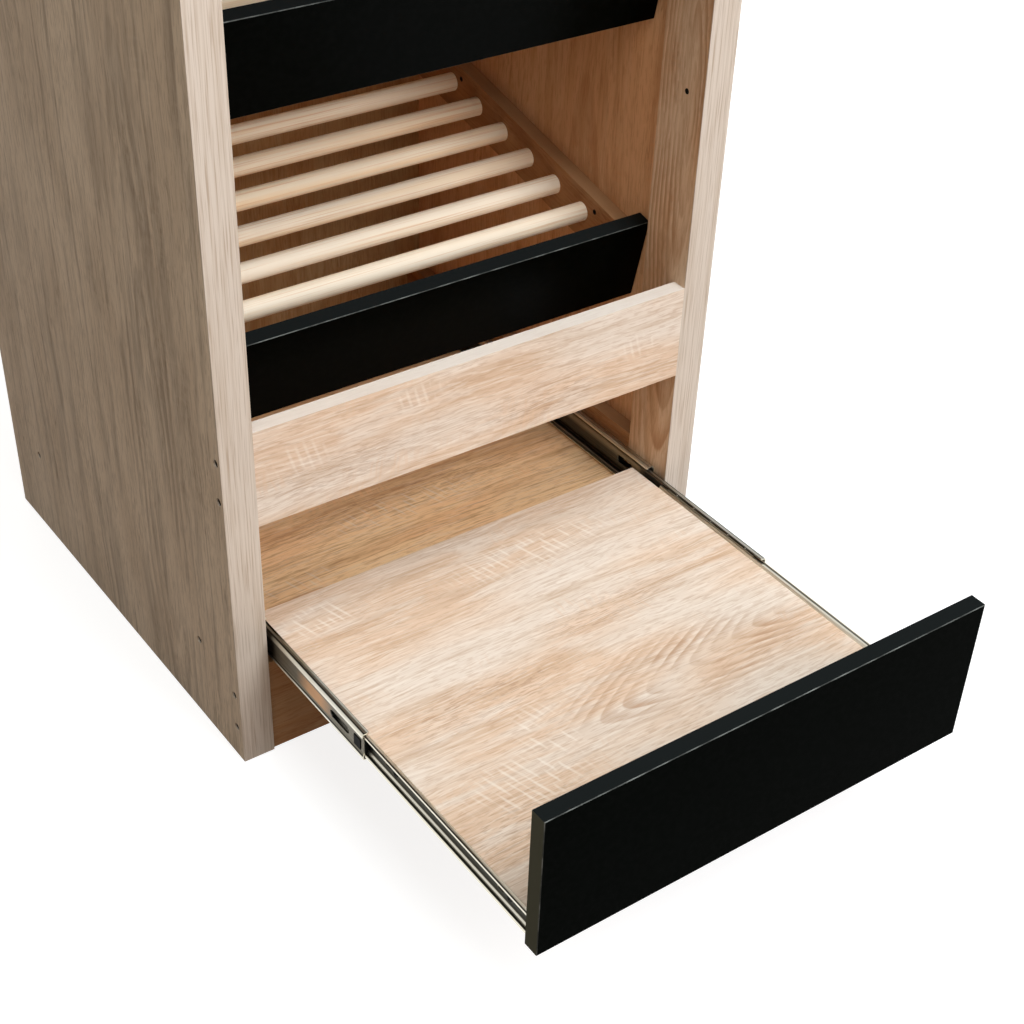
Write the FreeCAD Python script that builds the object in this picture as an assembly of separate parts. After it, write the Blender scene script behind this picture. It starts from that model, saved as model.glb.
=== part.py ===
import FreeCAD, Part
import math
import os

os.makedirs("parts", exist_ok=True)

# All sizes are in millimetres. X runs to the right, Y to the back, Z up.
# The origin lies on the floor under the middle of the plinth board.

# carcass
cabinet_width = 600.0
cabinet_depth = 575.0
cabinet_height = 1000.0
board = 18.0
band_thickness = 1.0
stile_depth = 70.0
back_thickness = 8.0
back_setback = 10.0
groove_depth = 8.0
groove_play = 0.2
plinth_setback = 3.0
plinth_height = 120.0
rail_bottom = 299.5
rail_height = 109.5
packer_height = 62.0

# sloped rod shelves, measured from the first rod behind the fascia
shelf_tilt = 12.0
first_rod_setback = 187.0
first_rod_height = 420.0
upper_rod_drop = 242.0
rod_diameter = 22.0
rod_pitch = 54.5
rod_count = 7
rod_socket = 10.0
rod_end_play = 0.2
shelf_rail_above = 27.0
shelf_rail_height = 60.0
shelf_rail_front = 74.0
shelf_rail_length = 435.0
fascia_above = 45.5
fascia_height = 101.0
fascia_end_gap = 0.5
front_chamfer = 0.7

# pull-out tray, measured with the tray shut
tray_depth = 502.0
tray_front_height = 168.0
tray_front_side_gap = 2.0
tray_front_bottom_gap = 5.0

# ball-bearing slides: height across the flanges, depth from wall to tray edge
slide_length = 450.0
slide_height = 45.0
slide_depth = 12.7
slide_lift = 1.5
slide_setback = 2.0
sheet = 1.2
bend_radius = 1.0
ball_diameter = 4.0
ball_play = 0.05
cage_sheet = 0.6
cage_width = 5.6
ball_pitch = 30.0
outer_ball_count = 5
inner_ball_count = 5
inner_ball_offset = 1.6
track_half = 1.7
lip_reach = 2.2
middle_web_gap = 2.0
dish_height = 20.0
dish_depth = 1.2
middle_slot_height = 9.0
front_slot_start = 27.0
front_slot_length = 36.0
middle_slot_start = 236.0
middle_slot_length = 28.0
end_window_start = 5.0
end_window_length = 12.0
end_window_height = 13.0
fixing_slot_offset = 9.0
fixing_slot_length = 11.0
fixing_slot_height = 4.6

# plastic buffer snapped into the end window of each middle member
buffer_height = 16.0
buffer_depth = 3.6
buffer_nose = 1.2
buffer_tail = 6.0
buffer_round = 2.0
buffer_proud = 0.8

# how far the photograph shows the tray and the middle members pulled out
tray_out = 475.0
middle_out = 202.0

# fasteners
fit_play = 0.05
carcass_screw_length = 70.0
carcass_shank = 6.4
carcass_head = 8.6
carcass_recess = 1.5
socket_across = 4.0
socket_depth = 3.0
wood_screw_length = 30.0
wood_shank = 3.6
wood_head = 6.2
slide_screw_length = 15.0
slide_shank = 3.5
slide_head = 7.0
slide_head_height = 1.2
dowel_diameter = 8.0
dowel_length = 32.0
dowel_in_front = 10.0

# places of the fasteners
edge_screw_spacing = 45.0
rail_screw_rise = 38.0
plinth_screw_rise = 42.0
floor_screw_front = 86.0
floor_screw_back = 78.0
stile_screw_inset = 27.5
stile_screw_first = 22.0
stile_screw_last = 60.0
stile_screw_count = 4
packer_screw_inset = 60.0
packer_screw_rise = 12.0
shelf_screw_above = 13.5
shelf_screw_front = -21.0
shelf_screw_spacing = 277.0
fascia_dowel_above = 12.0
fascia_dowel_spacing = 30.0
slide_screw_inset = 35.0
tray_dowel_spacing = 200.0

# values that follow from the ones above
half = cabinet_width / 2
inner = half - board
opening = inner - board
front = -(plinth_setback + board / 2)
back = front + cabinet_depth
side_height = cabinet_height - board
stile_back = front + stile_depth
floor_top = plinth_height
floor_bottom = floor_top - board
back_face = back - back_setback - back_thickness
tray_half = opening - slide_depth
slide_centre = floor_top + slide_lift + slide_height / 2
slide_front = front + board + slide_setback
ball = ball_diameter / 2


def block(x0, x1, y0, y1, z0, z1):
    return Part.makeBox(x1 - x0, y1 - y0, z1 - z0, FreeCAD.Vector(x0, y0, z0))


def cylinder(start, direction, radius, length):
    return Part.makeCylinder(radius, length, start, direction)


def mirrored(shape):
    return shape.mirror(FreeCAD.Vector(0, 0, 0), FreeCAD.Vector(1, 0, 0))


def moved(shape, x=0.0, y=0.0, z=0.0):
    copy = shape.copy()
    copy.translate(FreeCAD.Vector(x, y, z))
    return copy


def cut(shape, tools):
    return shape.cut(Part.makeCompound(tools)) if tools else shape


def save(name, shape):
    shape.exportStep("parts/" + name + ".step")


def save_pair(name, right_shape):
    save("right_" + name, right_shape)
    save("left_" + name, mirrored(right_shape))


def hexagon_socket(face_point, inward):
    corners = []
    reach = socket_across / math.sqrt(3)
    side_axis = FreeCAD.Vector(0, 1, 0)
    up_axis = inward.cross(side_axis)
    for step in range(7):
        turn = math.radians(60 * step)
        spoke = side_axis * math.cos(turn) + up_axis * math.sin(turn)
        corners.append(face_point + spoke * reach)
    return Part.Face(Part.makePolygon(corners)).extrude(inward * socket_depth)


def countersunk(face_point, inward, head, shank, length, play):
    head_depth = (head - shank) / 2
    cone = Part.makeCone(head / 2, shank / 2, head_depth, face_point, inward)
    stem = cylinder(face_point + inward * head_depth, inward, shank / 2 + play, length - head_depth + play)
    return cone.fuse(stem)


# carcass screws are driven in until their heads lie a little below the face
def carcass_screw(face_point, inward):
    head_point = face_point + inward * carcass_recess
    body = countersunk(head_point, inward, carcass_head, carcass_shank, carcass_screw_length, 0.0)
    return body.cut(hexagon_socket(head_point, inward))


def carcass_hole(face_point, inward):
    head_point = face_point + inward * carcass_recess
    mouth = cylinder(face_point, inward, carcass_head / 2, carcass_recess)
    seat = countersunk(head_point, inward, carcass_head, carcass_shank, carcass_screw_length, fit_play)
    return mouth.fuse(seat)


def wood_screw(face_point, inward):
    body = countersunk(face_point, inward, wood_head, wood_shank, wood_screw_length, 0.0)
    recess = Part.makeCone(wood_shank / 2, 0.0, wood_shank / 2, face_point, inward)
    return body.cut(recess)


def wood_hole(face_point, inward):
    return countersunk(face_point, inward, wood_head, wood_shank, wood_screw_length, fit_play)


def slide_screw(face_point, inward):
    head_start = face_point - inward * slide_head_height
    head = cylinder(head_start, inward, slide_head / 2, slide_head_height)
    recess = Part.makeCone(slide_shank / 2, 0.0, slide_head_height, head_start, inward)
    stem = cylinder(face_point, inward, slide_shank / 2, slide_screw_length)
    return head.fuse(stem).cut(recess)


def slide_hole(face_point, inward):
    return cylinder(face_point, inward, slide_shank / 2 + fit_play, slide_screw_length + fit_play)


outward = FreeCAD.Vector(1, 0, 0)
inward = FreeCAD.Vector(-1, 0, 0)
upward = FreeCAD.Vector(0, 0, 1)
downward = FreeCAD.Vector(0, 0, -1)
backward = FreeCAD.Vector(0, 1, 0)

# places of the screws on the right-hand side, left ones are their mirror images
rail_middle = front + board / 2
plinth_middle = front + plinth_setback + board / 2
side_screw_points = []
for row in range(2):
    rail_z = rail_bottom + rail_screw_rise + row * edge_screw_spacing
    plinth_z = plinth_screw_rise + row * edge_screw_spacing
    side_screw_points.append(FreeCAD.Vector(half, rail_middle, rail_z))
    side_screw_points.append(FreeCAD.Vector(half, plinth_middle, plinth_z))
floor_screw_z = (floor_top + floor_bottom) / 2
side_screw_points.append(FreeCAD.Vector(half, front + floor_screw_front, floor_screw_z))
side_screw_points.append(FreeCAD.Vector(half, back - floor_screw_back, floor_screw_z))
top_screw_points = []
for screw_y in (front + floor_screw_front, back - floor_screw_back):
    top_screw_points.append(FreeCAD.Vector(half - board / 2, screw_y, cabinet_height))

stile_screw_points = []
stile_screw_spacing = (side_height - stile_screw_first - stile_screw_last) / (stile_screw_count - 1)
for row in range(stile_screw_count):
    screw_z = stile_screw_first + row * stile_screw_spacing
    stile_screw_points.append(FreeCAD.Vector(opening, front + stile_screw_inset, screw_z))

packer_screw_points = []
for screw_y in (stile_back + packer_screw_inset, back_face - packer_screw_inset):
    packer_screw_points.append(FreeCAD.Vector(opening, screw_y, slide_centre + packer_screw_rise))

cabinet_slide_screw_ys = [slide_front + slide_screw_inset]
cabinet_slide_screw_ys.append(slide_front + slide_length / 2)
cabinet_slide_screw_ys.append(slide_front + slide_length - slide_screw_inset)


# sloped shelf: built flat with its first rod on the X axis, then tilted and lifted
shelf_heights = {"lower": first_rod_height, "upper": side_height - upper_rod_drop}


def shelf_place(shape, level):
    placed = shape.copy()
    placed.rotate(FreeCAD.Vector(0, 0, 0), FreeCAD.Vector(1, 0, 0), shelf_tilt)
    placed.translate(FreeCAD.Vector(0, front + first_rod_setback, shelf_heights[level]))
    return placed


shelf_screw_points = []
for step in range(2):
    screw_u = shelf_screw_front + step * shelf_screw_spacing
    shelf_screw_points.append(FreeCAD.Vector(opening, screw_u, shelf_screw_above))
fascia_back = -shelf_rail_front
fascia_dowel_starts = []
for row in range(2):
    dowel_v = fascia_dowel_above - row * fascia_dowel_spacing
    fascia_dowel_starts.append(FreeCAD.Vector((opening + inner) / 2, fascia_back - dowel_in_front, dowel_v))

shelf_rail = block(opening, inner, fascia_back, fascia_back + shelf_rail_length,
                   shelf_rail_above - shelf_rail_height, shelf_rail_above)
rail_tools = []
for number in range(rod_count):
    socket_start = FreeCAD.Vector(opening, number * rod_pitch, 0)
    rail_tools.append(cylinder(socket_start, outward, rod_diameter / 2 + fit_play, rod_socket))
for point in shelf_screw_points:
    rail_tools.append(wood_hole(point, outward))
for start in fascia_dowel_starts:
    rail_tools.append(cylinder(start, backward, dowel_diameter / 2 + fit_play, dowel_length + fit_play))
shelf_rail = cut(shelf_rail, rail_tools)

fascia_reach = inner - fascia_end_gap
fascia = block(-fascia_reach, fascia_reach, fascia_back - board, fascia_back,
               fascia_above - fascia_height, fascia_above)


# the edge bands are trimmed at an angle all round the front face
def front_trimmed(panel):
    face_y = panel.BoundBox.YMin
    edges = [edge for edge in panel.Edges if abs(edge.BoundBox.YMax - face_y) < front_chamfer / 2]
    return panel.makeChamfer(front_chamfer, edges)


fascia = front_trimmed(fascia)
fascia_tools = []
for start in fascia_dowel_starts:
    hole = cylinder(start - backward * fit_play, backward, dowel_diameter / 2 + fit_play, dowel_length)
    fascia_tools.append(hole)
    fascia_tools.append(mirrored(hole))
fascia = cut(fascia, fascia_tools)

rod_reach = opening + rod_socket - rod_end_play
shelf_rod = cylinder(FreeCAD.Vector(-rod_reach, 0, 0), outward, rod_diameter / 2, 2 * rod_reach)

shelf_screws = []
fascia_dowels = []
for level in shelf_heights:
    save(level + "_right_rail", shelf_place(shelf_rail, level))
    save(level + "_left_rail", shelf_place(mirrored(shelf_rail), level))
    save(level + "_fascia", shelf_place(fascia, level))
    for number in range(rod_count):
        placed_rod = shelf_place(moved(shelf_rod, y=number * rod_pitch), level)
        save(level + "_rod_" + str(number + 1), placed_rod)
    for point in shelf_screw_points:
        screw = wood_screw(point, outward)
        shelf_screws.append(shelf_place(screw, level))
        shelf_screws.append(shelf_place(mirrored(screw), level))
    for start in fascia_dowel_starts:
        dowel = cylinder(start, backward, dowel_diameter / 2, dowel_length)
        fascia_dowels.append(shelf_place(dowel, level))
        fascia_dowels.append(shelf_place(mirrored(dowel), level))
save("shelf_rail_screws", Part.makeCompound(shelf_screws))
save("fascia_dowels", Part.makeCompound(fascia_dowels))

# side panels, with the groove for the back panel and every screw hole
side_panel = block(inner, half, front + band_thickness, back, 0, side_height)
groove_front = back_face - groove_play
groove_back = back_face + back_thickness + groove_play
groove = block(inner, inner + groove_depth, groove_front, groove_back, floor_bottom, side_height)
side_tools = [groove]
for point in side_screw_points:
    side_tools.append(carcass_hole(point, inward))
for point in top_screw_points:
    side_tools.append(carcass_hole(point, downward))
for point in stile_screw_points + packer_screw_points:
    side_tools.append(wood_hole(point, outward))
for level in shelf_heights:
    for point in shelf_screw_points:
        side_tools.append(shelf_place(wood_hole(point, outward), level))
save_pair("side_panel", cut(side_panel, side_tools))

front_stile = block(opening, inner, front + band_thickness, stile_back, 0, side_height)
stile_tools = []
for point in side_screw_points:
    stile_tools.append(carcass_hole(point, inward))
for point in stile_screw_points:
    stile_tools.append(wood_hole(point, outward))
for screw_y in cabinet_slide_screw_ys:
    stile_tools.append(slide_hole(FreeCAD.Vector(opening, screw_y, slide_centre), outward))
save_pair("front_stile", cut(front_stile, stile_tools))

save_pair("edge_band", block(opening, half, front, front + band_thickness, 0, side_height))

top_panel = block(-half, half, front, back, side_height, cabinet_height)
top_tools = []
for point in top_screw_points:
    top_tools.append(carcass_hole(point, downward))
    top_tools.append(mirrored(carcass_hole(point, downward)))
save("top_panel", cut(top_panel, top_tools))

back_reach = inner + groove_depth - groove_play
back_rear = back_face + back_thickness
save("back_panel", block(-back_reach, back_reach, back_face, back_rear, floor_bottom, side_height))

plinth_back = front + plinth_setback + board
bottom_panel = block(-inner, inner, plinth_back, back_face, floor_bottom, floor_top)
stile_notch = block(opening, inner, plinth_back, stile_back, floor_bottom, floor_top)
bottom_tools = [stile_notch, mirrored(stile_notch)]
for point in side_screw_points:
    bottom_tools.append(carcass_hole(point, inward))
    bottom_tools.append(mirrored(carcass_hole(point, inward)))
save("bottom_panel", cut(bottom_panel, bottom_tools))

plinth_board = block(-opening, opening, front + plinth_setback, plinth_back, 0, plinth_height)
front_rail = block(-opening, opening, front, front + board, rail_bottom, rail_bottom + rail_height)
front_tools = []
for point in side_screw_points:
    front_tools.append(carcass_hole(point, inward))
    front_tools.append(mirrored(carcass_hole(point, inward)))
save("plinth_board", cut(plinth_board, front_tools))
save("front_rail", cut(front_rail, front_tools))

slide_packer = block(opening, inner, stile_back, back_face, floor_top, floor_top + packer_height)
packer_tools = []
for point in packer_screw_points:
    packer_tools.append(wood_hole(point, outward))
for screw_y in cabinet_slide_screw_ys:
    packer_tools.append(slide_hole(FreeCAD.Vector(opening, screw_y, slide_centre), outward))
save_pair("slide_packer", cut(slide_packer, packer_tools))

carcass_screws = []
for point in side_screw_points:
    carcass_screws.append(carcass_screw(point, inward))
for point in top_screw_points:
    carcass_screws.append(carcass_screw(point, downward))
carcass_screws += [mirrored(screw) for screw in carcass_screws]
save("carcass_screws", Part.makeCompound(carcass_screws))

stile_screws = [wood_screw(point, outward) for point in stile_screw_points]
stile_screws += [mirrored(screw) for screw in stile_screws]
save("stile_screws", Part.makeCompound(stile_screws))

packer_screws = [wood_screw(point, outward) for point in packer_screw_points]
packer_screws += [mirrored(screw) for screw in packer_screws]
save("packer_screws", Part.makeCompound(packer_screws))


# slide members: a bent sheet drawn as a centre line of (depth from wall, height) points
def sheet_face(points):
    path = [FreeCAD.Vector(depth, 0, height) for depth, height in points]
    near_side = []
    far_side = []
    last = len(path) - 1
    for place, corner in enumerate(path):
        if place in (0, last):
            along = path[1] - path[0] if place == 0 else path[last] - path[last - 1]
            along.normalize()
            across = FreeCAD.Vector(-along.z, 0, along.x) * (sheet / 2)
            near_side.append([corner + across])
            far_side.append([corner - across])
            continue
        arriving = corner - path[place - 1]
        leaving = path[place + 1] - corner
        arriving.normalize()
        leaving.normalize()
        turn = math.atan2(arriving.x * leaving.z - arriving.z * leaving.x, arriving.dot(leaving))
        setback = bend_radius * math.tan(abs(turn) / 2)
        before = corner - arriving * setback
        after = corner + leaving * setback
        halfway = leaving - arriving
        halfway.normalize()
        centre = corner + halfway * (bend_radius / math.cos(turn / 2))
        across_before = FreeCAD.Vector(-arriving.z, 0, arriving.x) * (sheet / 2)
        across_after = FreeCAD.Vector(-leaving.z, 0, leaving.x) * (sheet / 2)
        for side, sign in ((near_side, 1), (far_side, -1)):
            start = before + across_before * sign
            end = after + across_after * sign
            reach = (start - centre).Length
            side.append([start, centre - halfway * reach, end])
    outline = near_side + [list(reversed(group)) for group in reversed(far_side)]
    edges = []
    for place, group in enumerate(outline):
        if len(group) == 3:
            edges.append(Part.Arc(group[0], group[1], group[2]).toShape())
        following = outline[(place + 1) % len(outline)]
        edges.append(Part.makeLine(group[-1], following[0]))
    return Part.Face(Part.Wire(edges))


def slide_member(upper_points):
    lower_points = [(depth, -height) for depth, height in reversed(upper_points)]
    flat = sheet_face(upper_points + lower_points)
    return flat.extrude(backward * slide_length)


# a bar with round ends through the sheet whose wall side lies at depth
def web_bar(depth, start, length, height):
    reach = height / 2
    bar = block(depth, depth + sheet, start + reach, start + length - reach, -reach, reach)
    for end_y in (start + reach, start + length - reach):
        bar = bar.fuse(cylinder(FreeCAD.Vector(depth, end_y, 0), outward, reach, sheet))
    return bar.removeSplitter()


# heights of the tracks, from the outside in, each one ball further down
cabinet_flange = slide_height / 2 - sheet / 2
outer_ball_height = slide_height / 2 - sheet - ball_play - ball
middle_flange = outer_ball_height - ball - ball_play - sheet / 2
inner_ball_height = middle_flange - sheet / 2 - ball_play - ball
tray_flange = inner_ball_height - ball - ball_play - sheet / 2

# depths from the wall
cabinet_web = sheet / 2
middle_web = sheet + middle_web_gap + sheet / 2
tray_web = slide_depth - sheet / 2
outer_ball_depth = slide_depth / 2
inner_ball_depth = slide_depth / 2 + inner_ball_offset

cabinet_points = [
    (slide_depth - sheet, cabinet_flange - track_half),
    (outer_ball_depth + track_half + lip_reach, cabinet_flange - track_half),
    (outer_ball_depth + track_half, cabinet_flange),
    (outer_ball_depth - track_half, cabinet_flange),
    (cabinet_web, cabinet_flange - 2 * track_half),
]
middle_points = [
    (inner_ball_depth + track_half + sheet, middle_flange + sheet),
    (inner_ball_depth + track_half / 2, middle_flange),
    (middle_web + track_half, middle_flange),
    (middle_web, middle_flange - track_half),
    (middle_web, dish_height / 2 + dish_depth),
    (middle_web + dish_depth, dish_height / 2),
]
tray_points = [
    (inner_ball_depth - track_half - sheet / 2, tray_flange + sheet),
    (inner_ball_depth - track_half, tray_flange),
    (tray_web - track_half, tray_flange),
    (tray_web, tray_flange - track_half),
]

cabinet_member = slide_member(cabinet_points)
middle_member = slide_member(middle_points)
tray_member = slide_member(tray_points)

# each fixing place has a round hole and, behind it, an oblong slot for adjustment
screw_steps = [screw_y - slide_front for screw_y in cabinet_slide_screw_ys]
cabinet_tools = []
tray_tools = []
for step in screw_steps:
    hole_radius = slide_shank / 2 + fit_play
    slot_start = step + fixing_slot_offset
    for depth, tools in ((0, cabinet_tools), (slide_depth - sheet, tray_tools)):
        tools.append(cylinder(FreeCAD.Vector(depth, step, 0), outward, hole_radius, sheet))
        tools.append(web_bar(depth, slot_start, fixing_slot_length, fixing_slot_height))
cabinet_member = cut(cabinet_member, cabinet_tools)
tray_member = cut(tray_member, tray_tools)

# the middle member's slots go through the floor of its dish
middle_wall_side = middle_web + dish_depth - sheet / 2
middle_tools = []
for start, length in ((front_slot_start, front_slot_length), (middle_slot_start, middle_slot_length)):
    middle_tools.append(web_bar(middle_wall_side, start, length, middle_slot_height))
end_window_end = end_window_start + end_window_length
middle_tools.append(block(middle_wall_side, middle_wall_side + sheet, end_window_start, end_window_end,
                          -end_window_height / 2, end_window_height / 2))
middle_member = cut(middle_member, middle_tools)

# buffer: a pad on the tray side of the dish, with a boss that fills the end window and stands proud of it
pad_start = middle_wall_side + sheet
pad_back = end_window_end + buffer_tail
pad = block(pad_start, pad_start + buffer_depth, -buffer_nose, pad_back,
            -buffer_height / 2, buffer_height / 2)
pad_corners = [edge for edge in pad.Edges if edge.BoundBox.XLength > buffer_depth / 2]
pad = pad.makeFillet(buffer_round, pad_corners)
boss_reach = end_window_height / 2 - fit_play
boss = block(middle_wall_side - buffer_proud, pad_start,
             end_window_start + fit_play, end_window_end - fit_play, -boss_reach, boss_reach)
stop_buffer = pad.fuse(boss)


def cage_and_balls(depth, height, count):
    strips = []
    balls = []
    length = count * ball_pitch
    for side in (1, -1):
        strip = block(depth - cage_width / 2, depth + cage_width / 2, 0, length,
                      side * height - cage_sheet / 2, side * height + cage_sheet / 2)
        pockets = []
        for number in range(count):
            place = FreeCAD.Vector(depth, (number + 0.5) * ball_pitch, side * height)
            pockets.append(cylinder(place - upward * cage_sheet, upward, ball + fit_play, 2 * cage_sheet))
            balls.append(Part.makeSphere(ball, place))
        strips.append(cut(strip, pockets))
    return Part.makeCompound(strips), Part.makeCompound(balls)


def place_slide(shape, start):
    return moved(mirrored(shape), opening, start, slide_centre)


outer_cage, outer_balls = cage_and_balls(outer_ball_depth, outer_ball_height, outer_ball_count)
inner_cage, inner_balls = cage_and_balls(inner_ball_depth, inner_ball_height, inner_ball_count)

# each cage sits in the middle of the length that its two members share
middle_front = slide_front - middle_out
tray_member_front = slide_front - tray_out
outer_shared_middle = (slide_front + middle_front + slide_length) / 2
inner_shared_middle = (middle_front + tray_member_front + slide_length) / 2
outer_cage_front = outer_shared_middle - outer_ball_count * ball_pitch / 2
inner_cage_front = inner_shared_middle - inner_ball_count * ball_pitch / 2

save_pair("cabinet_member", place_slide(cabinet_member, slide_front))
save_pair("middle_member", place_slide(middle_member, middle_front))
save_pair("stop_buffer", place_slide(stop_buffer, middle_front))
save_pair("tray_member", place_slide(tray_member, tray_member_front))
save_pair("outer_cage", place_slide(outer_cage, outer_cage_front))
save_pair("outer_balls", place_slide(outer_balls, outer_cage_front))
save_pair("inner_cage", place_slide(inner_cage, inner_cage_front))
save_pair("inner_balls", place_slide(inner_balls, inner_cage_front))

# tray, drawn shut and moved to where the photograph shows it
tray_back = front + board + tray_depth
tray_board = block(-tray_half, tray_half, front + board, tray_back,
                   slide_centre - board / 2, slide_centre + board / 2)
tray_front_half = opening - tray_front_side_gap
tray_front_bottom = floor_top + tray_front_bottom_gap
tray_front_top = tray_front_bottom + tray_front_height
tray_front = block(-tray_front_half, tray_front_half, front, front + board,
                   tray_front_bottom, tray_front_top)
tray_front = front_trimmed(tray_front)

tray_dowels = []
tray_dowel_holes = []
for column in (-1, 0, 1):
    start = FreeCAD.Vector(column * tray_dowel_spacing, front + board - dowel_in_front, slide_centre)
    tray_dowels.append(cylinder(start, backward, dowel_diameter / 2, dowel_length))
    hole_start = start - backward * fit_play
    hole_length = dowel_length + 2 * fit_play
    tray_dowel_holes.append(cylinder(hole_start, backward, dowel_diameter / 2 + fit_play, hole_length))
tray_screws = []
tray_screw_holes = []
cabinet_slide_screws = []
for screw_y in cabinet_slide_screw_ys:
    tray_face = FreeCAD.Vector(tray_half + sheet, screw_y, slide_centre)
    wall_face = FreeCAD.Vector(opening - sheet, screw_y, slide_centre)
    tray_screws.append(slide_screw(tray_face, inward))
    tray_screw_holes.append(slide_hole(tray_face, inward))
    cabinet_slide_screws.append(slide_screw(wall_face, outward))
tray_screws += [mirrored(screw) for screw in tray_screws]
tray_screw_holes += [mirrored(hole) for hole in tray_screw_holes]
cabinet_slide_screws += [mirrored(screw) for screw in cabinet_slide_screws]

tray_board = cut(tray_board, tray_dowel_holes + tray_screw_holes)
tray_front = cut(tray_front, tray_dowel_holes)
save("tray_board", moved(tray_board, y=-tray_out))
save("tray_front", moved(tray_front, y=-tray_out))
save("tray_dowels", moved(Part.makeCompound(tray_dowels), y=-tray_out))
save("tray_slide_screws", moved(Part.makeCompound(tray_screws), y=-tray_out))
save("cabinet_slide_screws", Part.makeCompound(cabinet_slide_screws))
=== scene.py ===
import math

import bpy
from mathutils import Matrix, Vector


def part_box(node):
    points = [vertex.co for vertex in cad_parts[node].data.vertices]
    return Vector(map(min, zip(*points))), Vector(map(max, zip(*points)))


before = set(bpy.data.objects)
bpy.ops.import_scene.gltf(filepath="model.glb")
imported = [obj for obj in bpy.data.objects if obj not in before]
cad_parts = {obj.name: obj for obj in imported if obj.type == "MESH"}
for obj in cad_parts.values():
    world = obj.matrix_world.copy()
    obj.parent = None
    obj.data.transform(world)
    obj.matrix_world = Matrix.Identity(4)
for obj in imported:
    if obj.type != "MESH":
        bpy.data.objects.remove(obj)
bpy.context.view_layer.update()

scene = bpy.context.scene
print("frame loaded:", len(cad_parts), "nodes")


# colours are sRGB hex, Blender wants linear
def linear(hexColour):
    parts = [int(hexColour[i:i + 2], 16) / 255 for i in (1, 3, 5)]
    return tuple(c / 12.92 if c <= 0.04045 else ((c + 0.055) / 1.055) ** 2.4 for c in parts) + (1.0,)


# adds one node, sets its properties, and links or fills its inputs
def addNode(tree, kind, inputs=None, **settings):
    node = tree.nodes.new("ShaderNode" + kind)
    for name, value in settings.items():
        setattr(node, name, value)
    for key, value in (inputs or {}).items():
        if isinstance(value, bpy.types.NodeSocket):
            tree.links.new(value, node.inputs[key])
        else:
            node.inputs[key].default_value = value
    return node


def newMaterial(name):
    material = bpy.data.materials.new(name)
    material.use_nodes = True
    material.node_tree.nodes.clear()
    return material, material.node_tree


def middleOf(node):
    low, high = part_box(node)
    return (low + high) / 2


def dress(material, *nodes):
    for name in nodes:
        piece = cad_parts[name]
        piece.data.materials.clear()
        piece.data.materials.append(material)


# the boards' directions, with the sloped shelves' own fall and rise
axes = {"x": Vector((1, 0, 0)), "y": Vector((0, 1, 0)), "z": Vector((0, 0, 1))}
axes["slope"] = (middleOf("lower_rod_7") - middleOf("lower_rod_1")).normalized()
axes["rise"] = axes["x"].cross(axes["slope"])


# pattern frame: grain along its X, the board's width along its Y, the centre where the figure closes
def patternFrame(tree, grain, across, centre):
    coordinate = addNode(tree, "TexCoord")
    along, over = axes[grain], axes[across]
    turn = Matrix((along, over, along.cross(over))).transposed().to_euler()
    return addNode(tree, "Mapping", {"Vector": coordinate.outputs["Object"], "Location": centre,
                                     "Rotation": turn}, vector_type="TEXTURE").outputs[0]


# a pattern's steps per metre, from its wavelengths in mm along and across the grain
def perMetre(along, across):
    return 1000 / along, 1000 / across, 1000 / across


# the printed oak figure: wavelengths in mm along and across the grain, patch where a layer comes and goes
oakTones = {"pale": "#DFD0C1", "tan": "#D9B697", "shade": "#B59474", "brown": "#AB8260", "pore": "#8E6444",
            "saw": "#F0E5D8", "edge": "#DAD1C7"}
oakLayers = {
    "band": {"along": 300, "across": 80, "detail": 1, "low": 0.36, "high": 0.64, "strength": 0.70,
             "tone": "tan"},
    "streak": {"along": 240, "across": 22, "detail": 2, "low": 0.48, "high": 0.76, "strength": 0.42,
               "tone": "shade"},
    "vein": {"along": 420, "across": 9, "detail": 1, "low": 0.56, "high": 0.70, "strength": 0.24,
             "tone": "shade"},
    "bloom": {"along": 130, "across": 20, "detail": 2, "low": 0.52, "high": 0.68, "strength": 0.65,
              "tone": "pale"},
    # real pores and fibres are 0.2 mm wide, drawn about 1 mm wide so that they show
    "line": {"along": 110, "across": 3.0, "detail": 2, "low": 0.53, "high": 0.68, "strength": 0.25,
             "tone": "brown"},
    "glint": {"along": 60, "across": 2.4, "detail": 2, "low": 0.50, "high": 0.64, "strength": 0.34,
              "tone": "saw"},
    "fibre": {"along": 18, "across": 2.0, "detail": 2, "low": 0.50, "high": 0.64, "strength": 0.28,
              "tone": "brown"},
    "pore": {"along": 16, "across": 1.9, "detail": 1, "low": 0.52, "high": 0.62, "strength": 0.28,
             "tone": "pore", "patch": (110, 30)},
    "ripple": {"along": 3.6, "across": 26, "detail": 1, "low": 0.48, "high": 0.66, "strength": 0.28,
               "tone": "tan", "patch": (110, 34)},
    # saw marks are thin strokes across the grain, a few millimetres apart and a little slanted
    "saw": {"along": 9.0, "across": 34, "detail": 0, "low": 0.38, "high": 0.60, "strength": 0.50,
            "tone": "saw", "patch": (100, 32), "pitch": 9.5, "slant": 0.3, "stroke": (0.28, 0.04)},
}
oakPatch = {"detail": 1, "low": 0.50, "high": 0.66}
# how the grain wanders, slowly and quickly: wavelengths in mm, reach in m along and across
oakWander = [{"along": 250, "across": 83.333, "detail": 1, "reach": (0.03, 0.020, 0.020)},
             {"along": 38.462, "across": 22.222, "detail": 1, "reach": (0.004, 0.003, 0.003)}]
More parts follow.
